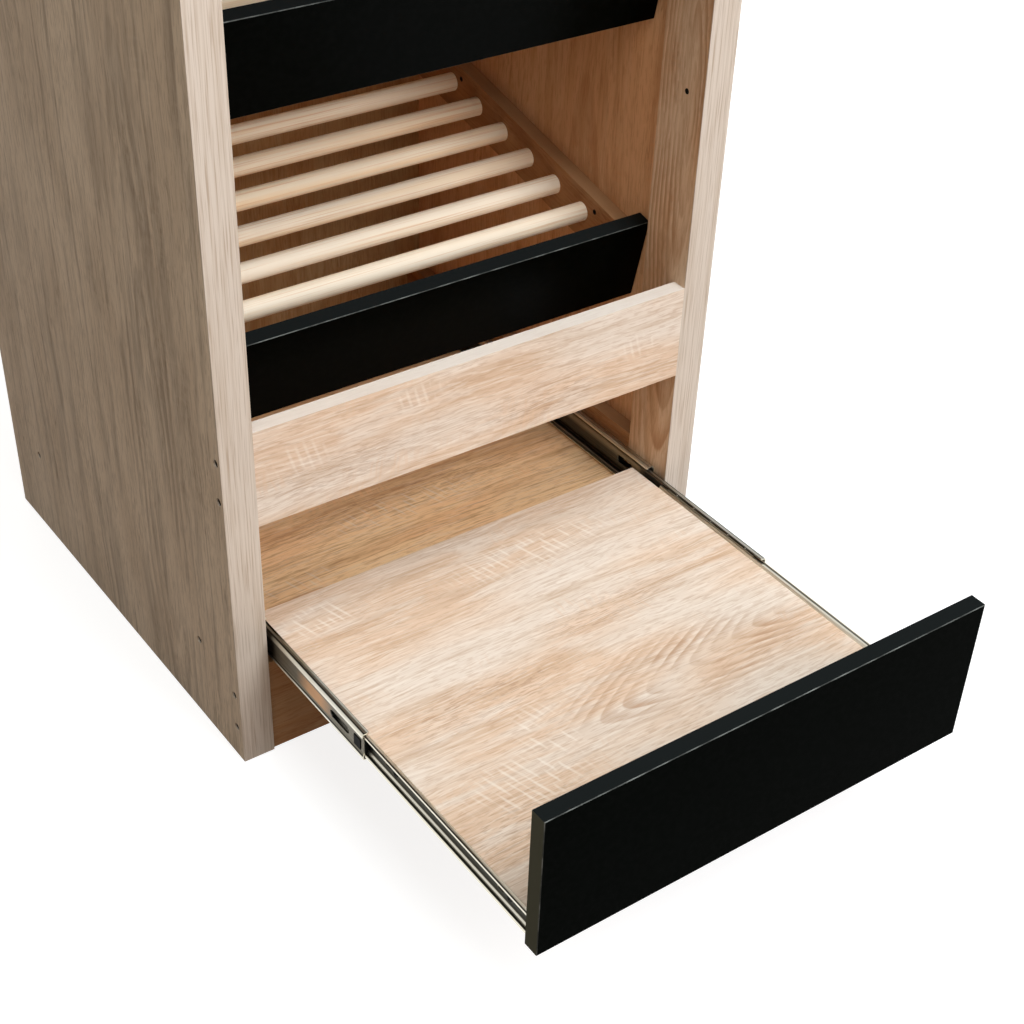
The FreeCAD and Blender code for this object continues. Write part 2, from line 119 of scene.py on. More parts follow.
# each ring darkens over rise and clears over drop, parts of a ring, and is broken up by a cloud
oakRing = {"rise": (0.1, 0.85), "drop": (0.87, 1.0), "fade": 0.4, "along": 111.11, "across": 62.5, "detail": 1,
           "low": 0.32, "high": 0.60}
oakSpot = {"none": 1.0, "full": 0.4}  # a chosen spot fades from its rim to this share of its size
oakEdge = {"face": 0.6, "edge": 0.4, "share": 0.75}  # how far a normal leans to count as the board's edge
# bounds of the painted shade inside the unit
oakInsideShade = {"x": (0.292, 0.290), "y": (0.550, 0.548)}  # half way through the side and back panels, in m
oakSurface = {"poreFull": 0.45, "roughLow": 0.60, "roughHigh": 0.72, "bump": 0.3, "bumpDepth": 0.0004,
              "specular": 0.2}


# oak-pattern melamine board: matt print with soft bands, cathedral figure, short pores and pale saw marks
# ring radius = length of (slope x along, across), or for arches length of (arch, across) less slope x along
def oakLaminate(name, grain, across, centre, slope=0.10, tilt=0.0, arch=None, ring=0.012, rings=0.45,
                reach=0.09, spots=None, insideShade=None, weights=None, tones=None):
    material, tree = newMaterial(name)
    tones = dict(oakTones, **(tones or {}))
    coordinate = addNode(tree, "TexCoord")
    place = patternFrame(tree, grain, across, centre)
    wavy = place
    for wander in oakWander:
        drift = addNode(tree, "VectorMath", {0: place, 1: perMetre(wander["along"], wander["across"])},
                        operation="MULTIPLY")
        noise = addNode(tree, "TexNoise", {"Vector": drift.outputs[0], "Scale": 1.0,
                                           "Detail": wander["detail"]})
        move = addNode(tree, "VectorMath", {0: noise.outputs["Color"], 1: (0.5, 0.5, 0.5)},
                       operation="SUBTRACT")
        wavy = addNode(tree, "VectorMath", {0: move.outputs[0], 1: wander["reach"], 2: wavy},
                       operation="MULTIPLY_ADD").outputs[0]

    chosen = {}
    for layerName, places in (spots or {}).items():  # where a layer shows, in the unit's own place
        for spotCentre, spotSize in places:
            near = addNode(tree, "Mapping", {"Vector": coordinate.outputs["Object"], "Location": spotCentre,
                                             "Scale": spotSize}, vector_type="TEXTURE")
            away = addNode(tree, "VectorMath", {0: near.outputs[0]}, operation="LENGTH")
            spot = addNode(tree, "MapRange", {"Value": away.outputs["Value"], "From Min": oakSpot["none"],
                                              "From Max": oakSpot["full"]},
                           interpolation_type="SMOOTHSTEP").outputs[0]
            if layerName in chosen:
                spot = addNode(tree, "Math", {0: chosen[layerName], 1: spot}, operation="MAXIMUM").outputs[0]
            chosen[layerName] = spot

    colour = linear(tones["pale"])
    masks = {}
    for layerName, layer in oakLayers.items():
        scaled = addNode(tree, "VectorMath", {0: wavy, 1: perMetre(layer["along"], layer["across"])},
                         operation="MULTIPLY")
        noise = addNode(tree, "TexNoise", {"Vector": scaled.outputs[0], "Scale": 1.0,
                                           "Detail": layer["detail"]})
        strength = layer["strength"] * (weights or {}).get(layerName, 1.0)
        mask = addNode(tree, "MapRange", {"Value": noise.outputs[0], "From Min": layer["low"],
                                          "From Max": layer["high"], "To Max": strength},
                       interpolation_type="SMOOTHSTEP").outputs[0]
        if "pitch" in layer:  # a comb of strokes, each faint at its sides
            comb = (1000 / layer["pitch"], 1000 / layer["pitch"] * layer["slant"], 0.0)
            count = addNode(tree, "VectorMath", {0: place, 1: comb}, operation="DOT_PRODUCT")
            tooth = addNode(tree, "Math", {0: count.outputs["Value"]}, operation="FRACT")
            aside = addNode(tree, "Math", {0: tooth.outputs[0], 1: 0.5}, operation="SUBTRACT")
            asideBy = addNode(tree, "Math", {0: aside.outputs[0]}, operation="ABSOLUTE")
            none, full = layer["stroke"]
            stroke = addNode(tree, "MapRange", {"Value": asideBy.outputs[0], "From Min": none,
                                                "From Max": full}, interpolation_type="SMOOTHSTEP")
            mask = addNode(tree, "Math", {0: mask, 1: stroke.outputs[0]}, operation="MULTIPLY").outputs[0]
        if "patch" in layer:
            patch = chosen.get(layerName)
            if patch is None:
                spread = addNode(tree, "VectorMath", {0: place, 1: perMetre(*layer["patch"])},
                                 operation="MULTIPLY")
                cloud = addNode(tree, "TexNoise", {"Vector": spread.outputs[0], "Scale": 1.0,
                                                   "Detail": oakPatch["detail"]})
                patch = addNode(tree, "MapRange", {"Value": cloud.outputs[0], "From Min": oakPatch["low"],
                                                   "From Max": oakPatch["high"]}).outputs[0]
            mask = addNode(tree, "Math", {0: mask, 1: patch}, operation="MULTIPLY").outputs[0]
        elif layerName in chosen:
            whole = addNode(tree, "Math", {0: chosen[layerName], 1: strength}, operation="MULTIPLY")
            mask = addNode(tree, "Math", {0: mask, 1: whole.outputs[0]}, operation="MAXIMUM").outputs[0]
        colour = addNode(tree, "Mix", {0: mask, 6: colour, 7: linear(tones[layer["tone"]])},
                         data_type="RGBA").outputs[2]
        masks[layerName] = mask

    lengthwise = addNode(tree, "VectorMath", {0: wavy, 1: (slope, 0.0, 0.0)},
                         operation="DOT_PRODUCT").outputs["Value"]
    sideways = addNode(tree, "VectorMath", {0: wavy, 1: (-tilt, 1.0, 0.0)},
                       operation="DOT_PRODUCT").outputs["Value"]
    ringPlace = addNode(tree, "CombineXYZ", {"X": arch if arch else lengthwise, "Y": sideways})
    radius = addNode(tree, "VectorMath", {0: ringPlace.outputs[0]}, operation="LENGTH").outputs["Value"]
    if arch:  # arches that follow one another along the grain, in place of closed rings
        radius = addNode(tree, "Math", {0: radius, 1: lengthwise}, operation="SUBTRACT").outputs[0]
    turns = addNode(tree, "Math", {0: radius, 1: ring}, operation="DIVIDE")
    share = addNode(tree, "Math", {0: turns.outputs[0]}, operation="FRACT").outputs[0]
    (riseFrom, riseTo), (dropFrom, dropTo) = oakRing["rise"], oakRing["drop"]
    rise = addNode(tree, "MapRange", {"Value": share, "From Min": riseFrom, "From Max": riseTo,
                                      "To Max": rings}, interpolation_type="SMOOTHSTEP").outputs[0]
    drop = addNode(tree, "MapRange", {"Value": share, "From Min": dropFrom, "From Max": dropTo,
                                      "To Min": 1.0, "To Max": 0.0},
                   interpolation_type="SMOOTHSTEP").outputs[0]
    fade = chosen.get("figure")
    if fade is None:
        fade = addNode(tree, "MapRange", {"Value": radius, "From Min": reach,
                                          "From Max": reach * oakRing["fade"]},
                       interpolation_type="SMOOTHSTEP").outputs[0]
    spread = addNode(tree, "VectorMath", {0: place, 1: perMetre(oakRing["along"], oakRing["across"])},
                     operation="MULTIPLY")
    cloud = addNode(tree, "TexNoise", {"Vector": spread.outputs[0], "Scale": 1.0, "Detail": oakRing["detail"]})
    broken = addNode(tree, "MapRange", {"Value": cloud.outputs[0], "From Min": oakRing["low"],
                                        "From Max": oakRing["high"]}).outputs[0]
    ringMask = rise
    for factor in (drop, fade, broken):
        ringMask = addNode(tree, "Math", {0: ringMask, 1: factor}, operation="MULTIPLY").outputs[0]
    colour = addNode(tree, "Mix", {0: ringMask, 6: colour, 7: linear(tones["brown"])},
                     data_type="RGBA").outputs[2]

    facing = axes[grain].cross(axes[across])
    lean = addNode(tree, "VectorMath", {0: coordinate.outputs["Normal"], 1: facing}, operation="DOT_PRODUCT")
    flat = addNode(tree, "Math", {0: lean.outputs["Value"]}, operation="ABSOLUTE")
    onEdge = addNode(tree, "MapRange", {"Value": flat.outputs[0], "From Min": oakEdge["face"],
                                        "From Max": oakEdge["edge"], "To Max": oakEdge["share"]})
    colour = addNode(tree, "Mix", {0: onEdge.outputs[0], 6: colour, 7: linear(tones["edge"])},
                     data_type="RGBA").outputs[2]
    if insideShade:  # painted shade: the faces turned into the unit are drawn browner and darker
        apart = addNode(tree, "SeparateXYZ", {0: coordinate.outputs["Object"]})
        outward = addNode(tree, "Math", {0: apart.outputs["X"]}, operation="ABSOLUTE")
        within, before = (addNode(tree, "MapRange", {"Value": value, "From Min": none, "From Max": full})
                          for value, (none, full) in ((outward.outputs[0], oakInsideShade["x"]),
                                                      (apart.outputs["Y"], oakInsideShade["y"])))
        inner = addNode(tree, "Math", {0: within.outputs[0], 1: before.outputs[0]}, operation="MULTIPLY")
        colour = addNode(tree, "Mix", {0: inner.outputs[0], 6: colour, 7: linear(insideShade)}, data_type="RGBA",
                         blend_type="MULTIPLY").outputs[2]

    rough = addNode(tree, "MapRange", {"Value": masks["pore"], "From Max": oakSurface["poreFull"],
                                       "To Min": oakSurface["roughLow"], "To Max": oakSurface["roughHigh"]})
    grooves = addNode(tree, "Math", {0: masks["pore"], 1: masks["fibre"]}, operation="ADD")
    height = addNode(tree, "Math", {0: grooves.outputs[0], 1: -1.0}, operation="MULTIPLY")
    bump = addNode(tree, "Bump", {"Height": height.outputs[0], "Strength": oakSurface["bump"],
                                  "Distance": oakSurface["bumpDepth"]})
    shader = addNode(tree, "BsdfPrincipled", {"Base Color": colour, "Roughness": rough.outputs[0],
                                              "Normal": bump.outputs[0],
                                              "Specular IOR Level": oakSurface["specular"]})
    addNode(tree, "OutputMaterial", {"Surface": shader.outputs[0]})
    return material


# painted shade casts that brown and darken the faces inside the unit, and boards whose own tones carry painted
# light or shade
insideShadeCast = "#FFDDBA"
stileShadeCast = "#FFF1E0"
# the shelf rails and slide packers lie wholly inside, so they are drawn darker all over as painted shade
railShadeCast = "#C9A47E"
backShadeCast = "#CCB38B"
# the plinth is drawn darker all over, painted shadow from the tray above it
plinthShadeCast = "#C6A57E"
# painted shade: the left side panel's tones are darker and greyer than the other oak
shadedSideTones = {"pale": "#D2C3AE", "tan": "#BBA992", "shade": "#736048", "brown": "#6F5C45", "pore": "#5A4933"}
# painted shade: the top panel's tones are the oak's drawn about a tenth darker, against the strong light on the
# top
shadedTopTones = {"pale": "#CDBDAC", "tan": "#C4A487", "shade": "#A6876A", "brown": "#9C7657", "pore": "#825B3E"}
# painted light: the bottom panel's tones are lighter and more golden than the other oak, for the warm light
# bouncing inside the unit
warmLitBottomTones = {"pale": "#FFD8A6", "tan": "#FABF8A", "shade": "#BE8352", "brown": "#A8693D", "pore": "#864D2C"}
quietGrain = {"glint": 0.4, "saw": 0.0}
boards = {
    "tray_board": {"grain": "x", "across": "y", "centre": (0.21, -0.262, 0.15), "slope": 0.25, "tilt": 0.14,
                   "arch": 0.016, "ring": 0.0082, "rings": 0.72,
                   "spots": {"figure": [((0.085, -0.283, 0.15), (0.20, 0.066, 0.1))],
                             "saw": [((0.055, -0.035, 0.15), (0.14, 0.034, 0.1)),
                                     ((-0.155, -0.325, 0.15), (0.09, 0.045, 0.1)),
                                     ((-0.10, -0.28, 0.15), (0.04, 0.05, 0.1)),
                                     ((-0.20, -0.01, 0.15), (0.06, 0.03, 0.1))],
                             "band": [((-0.20, -0.36, 0.15), (0.20, 0.11, 0.1)),
                                      ((-0.08, -0.27, 0.15), (0.20, 0.03, 0.1)),
                                      ((-0.02, -0.02, 0.15), (0.24, 0.05, 0.1))],
                             "pore": [((-0.19, -0.38, 0.15), (0.12, 0.06, 0.1)),
                                      ((-0.13, -0.21, 0.15), (0.14, 0.04, 0.1)),
                                      ((0.06, -0.16, 0.15), (0.12, 0.03, 0.1))]}},
    "front_rail": {"grain": "x", "across": "z", "centre": (-0.30, 0.0, 0.315), "slope": 0.12, "ring": 0.006,
                   "rings": 0.22, "weights": {"saw": 0.6},
                   "spots": {"saw": [((-0.215, 0, 0.361), (0.045, 0.1, 0.025)),
                                     ((-0.076, 0, 0.388), (0.04, 0.1, 0.018)),
                                     ((0.207, 0, 0.357), (0.035, 0.1, 0.02))],
                             "pore": [((-0.17, 0, 0.335), (0.14, 0.1, 0.03)),
                                      ((0.08, 0, 0.33), (0.12, 0.1, 0.03))]}},
    "bottom_panel": {"grain": "x", "across": "y", "centre": (0.42, 0.24, 0.11), "tones": warmLitBottomTones,
                     "weights": {"streak": 1.1, "line": 1.7, "vein": 1.5, "glint": 0.45, "saw": 0.5},
                     "spots": {"saw": [((0.0, 0.153, 0.12), (0.13, 0.03, 0.1)),
                                       ((-0.16, 0.09, 0.12), (0.07, 0.02, 0.1))],
                               "streak": [((0.05, 0.19, 0.12), (0.30, 0.04, 0.1))],
                               "pore": [((0.0, 0.17, 0.12), (0.25, 0.035, 0.1))]}},
    "plinth_board": {"grain": "x", "across": "z", "centre": (-0.5, 0.0, 0.03), "insideShade": plinthShadeCast,
                     "weights": quietGrain},
    "top_panel": {"grain": "x", "across": "y", "centre": (0.4, 0.31, 0.99), "tones": shadedTopTones,
                  "weights": {"streak": 0.8, "fibre": 0.8, "glint": 0.3, "saw": 0.3}},
    "back_panel": {"grain": "z", "across": "x", "centre": (0.07, 0.5, -0.2), "insideShade": backShadeCast,
                   "weights": quietGrain},
    "left_side_panel": {"grain": "z", "across": "y", "centre": (-0.29, 0.13, 0.30), "insideShade": insideShadeCast,
                        "tones": shadedSideTones,
                        "weights": {"streak": 1.2, "vein": 2.0, "line": 1.3, "glint": 0.1, "fibre": 1.1,
                                    "saw": 0.12},
                        "spots": {"saw": [((-0.3, 0.075, 0.745), (0.1, 0.035, 0.06)),
                                          ((-0.3, 0.07, 0.435), (0.1, 0.035, 0.05))]}},
    "right_side_panel": {"grain": "z", "across": "y", "centre": (0.29, 0.20, 0.10), "insideShade": insideShadeCast,
                         "weights": {"band": 0.5, "streak": 1.2, "glint": 0.3, "saw": 0.0}},
    "left_front_stile": {"grain": "z", "across": "y", "centre": (-0.27, 0.02, 0.20), "insideShade": stileShadeCast,
                         "weights": quietGrain},
    "right_front_stile": {"grain": "z", "across": "y", "centre": (0.27, 0.007, 0.60), "ring": 0.006,
                          "rings": 0.75, "insideShade": stileShadeCast, "weights": quietGrain},
    "left_slide_packer": {"grain": "y", "across": "z", "centre": (-0.27, 0.8, 0.15), "insideShade": railShadeCast,
                          "weights": quietGrain},
    "right_slide_packer": {"grain": "y", "across": "z", "centre": (0.27, 0.8, 0.15), "insideShade": railShadeCast,
                           "weights": quietGrain},
}
figureBehind = 0.5  # the shelf rails' figure closes this far behind them, so only straight grain shows
for level in ("lower", "upper"):
    for side in ("left", "right"):
        name = level + "_" + side + "_rail"
        boards[name] = {"grain": "slope", "across": "rise", "insideShade": railShadeCast, "weights": quietGrain,
                        "centre": middleOf(name) + axes["slope"] * figureBehind}
for name, board in boards.items():
    dress(oakLaminate("oakLaminate." + name, **board), name)
print("oak boards dressed:", len(boards))


# straight-grained finish: layers of lines along the grain, mixed over a pale ground, the last one felt as well
def lined(name, finish, layers, grain, across, centre):
    material, tree = newMaterial(name)
    place = patternFrame(tree, grain, across, centre)
    colour = linear(finish["pale"])
    for layer in layers:
        scaled = addNode(tree, "VectorMath", {0: place, 1: perMetre(layer["along"], layer["across"])},
                         operation="MULTIPLY")
        noise = addNode(tree, "TexNoise", {"Vector": scaled.outputs[0], "Scale": 1.0,
                                           "Detail": layer["detail"]})
        mask = addNode(tree, "MapRange", {"Value": noise.outputs[0], "From Min": layer["low"],
                                          "From Max": layer["high"], "To Max": layer["strength"]},
                       interpolation_type="SMOOTHSTEP")
        colour = addNode(tree, "Mix", {0: mask.outputs[0], 6: colour, 7: linear(finish[layer["tone"]])},
                         data_type="RGBA").outputs[2]
    bump = addNode(tree, "Bump", {"Height": noise.outputs[0], "Strength": finish["bump"],
                                  "Distance": finish["bumpDepth"]})
    shader = addNode(tree, "BsdfPrincipled", {"Base Color": colour, "Roughness": finish["rough"],
                                              "Normal": bump.outputs[0],
                                              "Specular IOR Level": finish["specular"]})
    addNode(tree, "OutputMaterial", {"Surface": shader.outputs[0]})
    return material


# oak-pattern ABS edge band: paler and pinker than the board, straight fine lines, slightly smoother
edgeBand = {"pale": "#CFC1B3", "line": "#B3A08C", "deep": "#957A60", "rough": 0.42, "specular": 0.3,
            "bump": 0.2, "bumpDepth": 0.0003, "outward": 0.28}
edgeLines = [
    {"along": 300, "across": 3.2, "detail": 2, "low": 0.44, "high": 0.66, "strength": 0.4, "tone": "line"},
    {"along": 70, "across": 1.5, "detail": 2, "low": 0.48, "high": 0.70, "strength": 0.5, "tone": "deep"},
]
for side, sign in (("left", -1), ("right", 1)):
    centre = (sign * edgeBand["outward"], 0, 0)
    dress(lined("oakEdgeBand." + side, edgeBand, edgeLines, "z", "x", centre), side + "_edge_band")

# planed pine: cream with fine lengthwise fibres and a few warmer growth bands, softly matt
pine = {"pale": "#FDEDD6", "band": "#F4D2A2", "fibre": "#DCA45E", "rough": 0.55, "specular": 0.3, "bump": 0.2,
        "bumpDepth": 0.0003}
# painted warm bounce light: the same pine drawn warmer and more golden for the rods deep in the shelf
shadeWarmedPine = dict(pine, pale="#FFECD0", band="#FBD29C", fibre="#DE9E58")
pineLines = [
    {"along": 3000, "across": 38, "detail": 2, "low": 0.40, "high": 0.66, "strength": 0.12,
     "tone": "band"},  # rod to rod
    {"along": 600, "across": 9, "detail": 2, "low": 0.45, "high": 0.70, "strength": 0.5, "tone": "band"},
    {"along": 160, "across": 1.5, "detail": 2, "low": 0.50, "high": 0.76, "strength": 0.5, "tone": "fibre"},
]
frontRods = 3  # the rods further back are drawn warmer, painted warm light bounced from the wood around them
rods = [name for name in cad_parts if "_rod_" in name]
shadeWarmedRods = [name for name in rods if int(name[-1]) > frontRods]
paleRods = [name for name in rods if name not in shadeWarmedRods]
dress(lined("planedPine.pale", pine, pineLines, "x", "y", (0, 0, 0)), *paleRods, "fascia_dowels", "tray_dowels")
dress(lined("planedPine.warm", shadeWarmedPine, pineLines, "x", "y", (0, 0, 0)), *shadeWarmedRods)
print("edge bands and rods dressed")

# black melamine board: near-black matt face, banded edges drawn grey-blue, their own grey with a painted
# reflection of the cool light from above, pale scraped line where the band is trimmed
# sizes in mm; the fleck and wear ranges cut the noise, the others say how far a normal leans
blackBoard = {"face": "#010201", "fleck": "#050605", "edge": "#171A1A", "end": "#52564C", "scrape": "#70736F",
              "fleckSize": 6.25, "fleckRange": (0.4, 0.75), "edgeRange": (0.6, 0.4), "endRange": (0.8, 0.95),
              "trim": (math.sqrt(0.5), 0.05), "wearSize": 22.222, "wearRange": (0.42, 0.66), "wearLeast": 0.25,
              "detail": 4, "bump": 0.12, "bumpDepth": 0.0003,
              "rough": {"tray": 0.45, "fascia": 0.30}, "ior": {"tray": 1.034, "fascia": 1.08}}


def blackLaminate(use, facing):
    material, tree = newMaterial("blackLaminate." + use)
    coordinate = addNode(tree, "TexCoord")
    cloud, worn = (addNode(tree, "TexNoise", {"Vector": coordinate.outputs["Object"], "Scale": 1000 / size,
                                              "Detail": blackBoard["detail"]})
                   for size in (blackBoard["fleckSize"], blackBoard["wearSize"]))
    lean, sideLean = (addNode(tree, "VectorMath", {0: coordinate.outputs["Normal"], 1: direction},
                              operation="DOT_PRODUCT").outputs["Value"] for direction in (facing, axes["x"]))
    endLean = addNode(tree, "Math", {0: sideLean}, operation="ABSOLUTE").outputs[0]
    onTrim = addNode(tree, "Math", {0: lean, 1: blackBoard["trim"][0], 2: blackBoard["trim"][1]},
                     operation="COMPARE")
    none, full = blackBoard["wearRange"]
    wear = addNode(tree, "MapRange", {"Value": worn.outputs[0], "From Min": none, "From Max": full,
                                      "To Min": blackBoard["wearLeast"]})
    scrape = addNode(tree, "Math", {0: onTrim.outputs[0], 1: wear.outputs[0]}, operation="MULTIPLY")
    colour = linear(blackBoard["face"])
    for tone, value in (("fleck", cloud.outputs[0]), ("edge", lean), ("end", endLean)):
        none, full = blackBoard[tone + "Range"]
        share = addNode(tree, "MapRange", {"Value": value, "From Min": none, "From Max": full})
        colour = addNode(tree, "Mix", {0: share.outputs[0], 6: colour, 7: linear(blackBoard[tone])},
                         data_type="RGBA").outputs[2]
    colour = addNode(tree, "Mix", {0: scrape.outputs[0], 6: colour, 7: linear(blackBoard["scrape"])},
                     data_type="RGBA").outputs[2]
    bump = addNode(tree, "Bump", {"Height": cloud.outputs[0], "Strength": blackBoard["bump"],
                                  "Distance": blackBoard["bumpDepth"]})
    shader = addNode(tree, "BsdfPrincipled", {"Base Color": colour, "Roughness": blackBoard["rough"][use],
                                              "Normal": bump.outputs[0], "IOR": blackBoard["ior"][use]})
    addNode(tree, "OutputMaterial", {"Surface": shader.outputs[0]})
    return material


dress(blackLaminate("tray", -axes["y"]), "tray_front")
dress(blackLaminate("fascia", -axes["slope"]), "lower_fascia", "upper_fascia")
print("black boards dressed")

# zinc-plated steel sheet: bright grey with a faint straw cast, drawn lengthwise, dark grease in the races,
# painted shade in the channels and painted highlights on lips and ends
# the darkest tone is both race grease and painted shade, the palest both the rolls' bright lines and painted
# highlights, the dark brown-grey tone painted shade on the middle member's wall side, and the warm tone a
# painted reflection of the wooden tray
zinc = {"bright": "#CAC8BE", "straw": "#ABA28A", "lipAndShine": "#EBE6D6", "back": "#5A5344", "warm": "#B98A5E",
        "greaseAndShade": "#15130E", "roughLow": 0.28, "roughHigh": 0.46}
# polished bearing steel: a clear mirror, hardly any cast
polished = {"bright": "#C9C8C4", "straw": "#B5B2A6", "roughLow": 0.08, "roughHigh": 0.14}
# black-oxide steel: dark and dull, only its rims catch light
blackOxide = {"bright": "#171614", "straw": "#0E0D0C", "roughLow": 0.40, "roughHigh": 0.60}
# sizes in mm; real drawing lines are 0.1 mm wide, drawn about 1 mm wide so that they show
drawing = {"along": 83.333, "across": 1.1111, "detail": 2, "low": 0.3, "high": 0.7,
           "castSize": 40, "castLow": 0.35, "castHigh": 0.7}
rolling = {"along": 500, "across": 1.9231, "detail": 1, "share": 0.55,
           "lines": {"greaseAndShade": (0.46, 0.34), "lipAndShine": (0.54, 0.66)}}
# where the slides are marked, in m: seam is off the tray member's open side and the others' webs, the mouth is
# the stretch at the cabinet's front darkened as painted shade, glow is how far behind the front end the painted
# warm reflection of the tray lies, dishEdge is the dish's half height, and the left mark is the strength of the
# painted light and shade that only the left slide has
slideMarks = {"seam": {"cabinet": 0.0023, "middle": 0.0023, "tray": -0.0022}, "mouth": (-0.036, -0.014),
              "glow": 0.094, "dishEdge": 0.0112, "leftPaintedMarks": {"left": 0.85, "right": 0.0}}


# where a rolled channel carries grease, painted shade, painted highlights and a painted reflection: each mark
# is a product of ranges, from none to full
# depth is 0 at the open side and 1 at the web, height and level are off the middle height, lean is towards the
# open side, ends towards the channel's ends, and seam, bend and glow are the distances from these
def channelMarks(tree, colour, finish, channel):
    coordinate = addNode(tree, "TexCoord")
    apart = addNode(tree, "SeparateXYZ", {0: coordinate.outputs["Object"]})
    depth = addNode(tree, "MapRange", {"Value": apart.outputs["X"], "From Min": channel["open"],
                                       "From Max": channel["web"]})
    towards = (math.copysign(1.0, channel["open"] - channel["web"]), 0.0, 0.0)
    lean, ends = (addNode(tree, "VectorMath", {0: coordinate.outputs["Normal"], 1: direction},
                          operation="DOT_PRODUCT").outputs["Value"] for direction in (towards, axes["y"]))
    height = addNode(tree, "Math", {0: apart.outputs["Z"], 1: channel["middle"]}, operation="SUBTRACT")
    values = {"depth": depth.outputs[0], "height": height.outputs[0], "along": apart.outputs["Y"], "lean": lean,
              "level": addNode(tree, "Math", {0: height.outputs[0]}, operation="ABSOLUTE").outputs[0],
              "ends": addNode(tree, "Math", {0: ends}, operation="ABSOLUTE").outputs[0]}
    for mark, value, line in (("seam", apart.outputs["X"], channel["seam"]),
                              ("bend", values["level"], slideMarks["dishEdge"]),
                              ("glow", apart.outputs["Y"], channel["glow"])):
        away = addNode(tree, "Math", {0: value, 1: line}, operation="SUBTRACT")
        values[mark] = addNode(tree, "Math", {0: away.outputs[0]}, operation="ABSOLUTE").outputs[0]
    top = channel["half"]
    marks = [
        # painted shade deep in the channel, near its top and away from its ends
        ("greaseAndShade", 0.90, {"depth": (0.10, 0.45), "level": (top - 0.0008, top - 0.0015), "lean": (-0.6, -0.3),
                          "ends": (0.7, 0.3)}),
        ("lipAndShine", 0.80, {"depth": (0.6, 0.9), "height": (0.001, 0.005), "lean": (0.5, 0.8)}),  # painted light on the upper half of the web
    ]
    if channel["part"] == "cabinet":
        # painted highlight along the cabinet member's lips
        marks += [("lipAndShine", 1.0, {"depth": (0.17, 0.10)})]
    else:
        marks += [("greaseAndShade", 0.85, {"seam": (0.0011, 0.0006), "level": (top - 0.0035, top - 0.0025)})]
    if channel["part"] == "tray":
        # painted highlights on the tray member's lips, a painted lit band high in its channel, and on the left
        # slide a painted dark line
        marks += [
            ("lipAndShine", 1.0, {"depth": (0.22, 0.14)}),
            ("lipAndShine", 0.75, {"depth": (0.45, 0.60), "level": (top - 0.0045, top - 0.0035)}),
            ("greaseAndShade", channel["leftPaintedMarks"], {"depth": (0.91, 0.96), "level": (top - 0.0045, top - 0.0035)}),
        ]
    if channel["part"] == "middle":
        # on the middle member: painted shade on the tray-side lip and on the wall side's dish, a painted warm
        # reflection of the tray on the left slide, a painted highlight along the shoulder, painted shade with
        # some grease in the bends, and painted shade along the cabinet's mouth
        marks += [
            ("greaseAndShade", 0.70, {"depth": (0.20, 0.10)}),
            ("back", 0.92, {"lean": (-0.5, -0.8), "level": (0.0116, 0.0108)}),
            ("warm", channel["leftPaintedMarks"], {"lean": (-0.5, -0.8), "glow": (0.036, 0.012),
                                           "level": (0.0090, 0.0070)}),
            ("lipAndShine", 0.60, {"lean": (-0.5, -0.8), "level": (0.0118, 0.0124)}),
            ("greaseAndShade", 0.85, {"lean": (-0.3, -0.5), "bend": (0.0013, 0.0008)}),
            ("greaseAndShade", 0.92, {"lean": (-0.3, -0.5), "along": slideMarks["mouth"]}),
        ]
    marks += [("lipAndShine", 0.90, {"ends": (0.7, 0.9)})]  # painted highlight on the sheared ends
    for tone, strength, limits in marks:
        mask = strength
        for value, (none, full) in limits.items():
            share = addNode(tree, "MapRange", {"Value": values[value], "From Min": none, "From Max": full})
            mask = addNode(tree, "Math", {0: share.outputs[0], 1: mask}, operation="MULTIPLY").outputs[0]
        colour = addNode(tree, "Mix", {0: mask, 6: colour, 7: linear(finish[tone])},
                         data_type="RGBA").outputs[2]
    return colour


def drawnSteel(name, finish, channel=None):
    material, tree = newMaterial(name)
    place = patternFrame(tree, "y", "z", (0, 0, 0))
    drawn = addNode(tree, "VectorMath", {0: place, 1: perMetre(drawing["along"], drawing["across"])},
                    operation="MULTIPLY")
    streak = addNode(tree, "TexNoise", {"Vector": drawn.outputs[0], "Scale": 1.0, "Detail": drawing["detail"]})
    cast = addNode(tree, "TexNoise", {"Vector": place, "Scale": 1000 / drawing["castSize"],
                                      "Detail": drawing["detail"]})
    castShare = addNode(tree, "MapRange", {"Value": cast.outputs[0], "From Min": drawing["castLow"],
                                           "From Max": drawing["castHigh"]})
    colour = addNode(tree, "Mix", {0: castShare.outputs[0], 6: linear(finish["bright"]),
                                   7: linear(finish["straw"])}, data_type="RGBA").outputs[2]
    if channel:
        rolled = addNode(tree, "VectorMath", {0: place, 1: perMetre(rolling["along"], rolling["across"])},
                         operation="MULTIPLY")
        lines = addNode(tree, "TexNoise", {"Vector": rolled.outputs[0], "Scale": 1.0,
                                           "Detail": rolling["detail"]})
        for tone, (none, full) in rolling["lines"].items():  # lines left by the rolls
            share = addNode(tree, "MapRange", {"Value": lines.outputs[0], "From Min": none, "From Max": full,
                                               "To Max": rolling["share"]})
            colour = addNode(tree, "Mix", {0: share.outputs[0], 6: colour, 7: linear(finish[tone])},
                             data_type="RGBA").outputs[2]
        colour = channelMarks(tree, colour, finish, channel)
    rough = addNode(tree, "MapRange", {"Value": streak.outputs[0], "From Min": drawing["low"],
                                       "From Max": drawing["high"], "To Min": finish["roughLow"],
                                       "To Max": finish["roughHigh"]})
    shader = addNode(tree, "BsdfPrincipled", {"Base Color": colour, "Metallic": 1.0,
                                              "Roughness": rough.outputs[0]})
    addNode(tree, "OutputMaterial", {"Surface": shader.outputs[0]})
    return material


